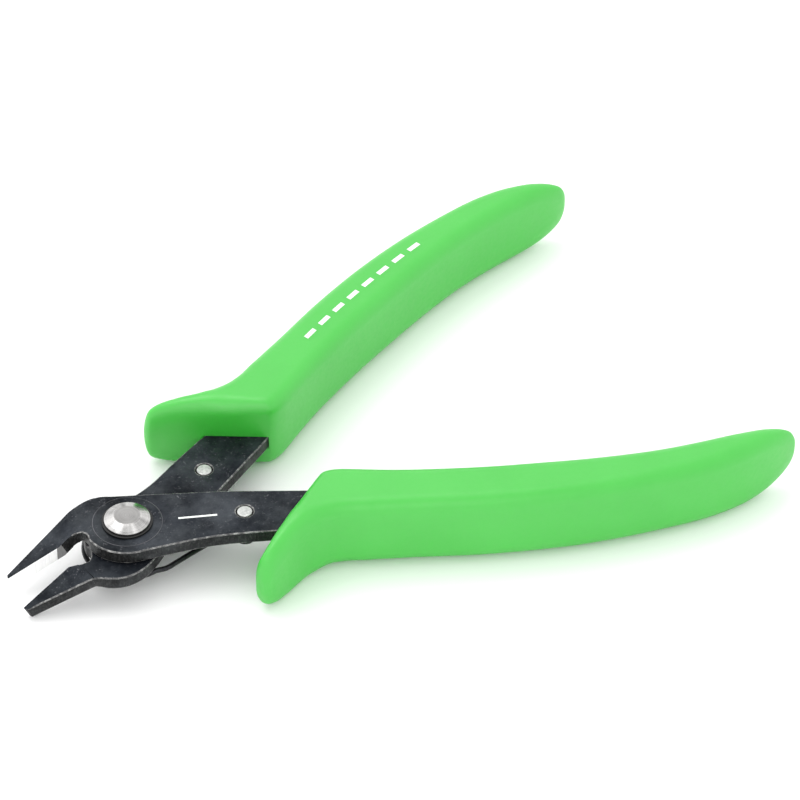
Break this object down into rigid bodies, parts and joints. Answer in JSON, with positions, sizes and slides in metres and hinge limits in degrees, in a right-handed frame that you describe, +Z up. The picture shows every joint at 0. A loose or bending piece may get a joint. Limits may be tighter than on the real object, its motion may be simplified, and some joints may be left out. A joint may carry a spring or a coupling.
{
  "type": "sprue nippers",
  "caption": "Hand nippers for snipping plastic model parts off their frame: stamped levers on a rivet, down-angled jaws, wire return spring and moulded finger-guard grips.",
  "frame": {"origin": "centre of the tool's footprint at its open rest, on the surface the grips lie on", "axes": "+X along the tool towards the jaw tips, +Z up out of the rivet head, +Y towards the grip of the upper lever"},
  "size_m": [0.1296, 0.0812, 0.0149],
  "materials": {
    "blackened_steel": "black oxide finish, worn to bare metal on the edges",
    "bright_steel": "turned bright",
    "dark_washer": "dark oxide",
    "spring_wire": "dark oxide spring wire",
    "green_vinyl": "satin moulded vinyl"
  },
  "bodies": {
    "lower_lever": {"lower_blade_lever": "blackened_steel", "lower_lever_grip": "green_vinyl", "lower_spring_pin": "bright_steel", "pivot_rivet": "bright_steel", "rivet_washer": "dark_washer", "return_spring": "spring_wire"},
    "upper_lever": {"upper_blade_lever": "blackened_steel", "upper_lever_grip": "green_vinyl", "upper_spring_pin": "bright_steel"}
  },
  "joints": [
    {"name": "lever_pivot", "type": "hinge", "parent": "lower_lever", "child": "upper_lever", "pos_m": [0.04382, 0, 0.00735], "axis": [0, 0, 1], "range_deg": [0, 14.9], "stiffness_Nm_per_rad": 0.6, "springref_deg": -5.73, "deforming": ["return_spring"]}
  ]
}
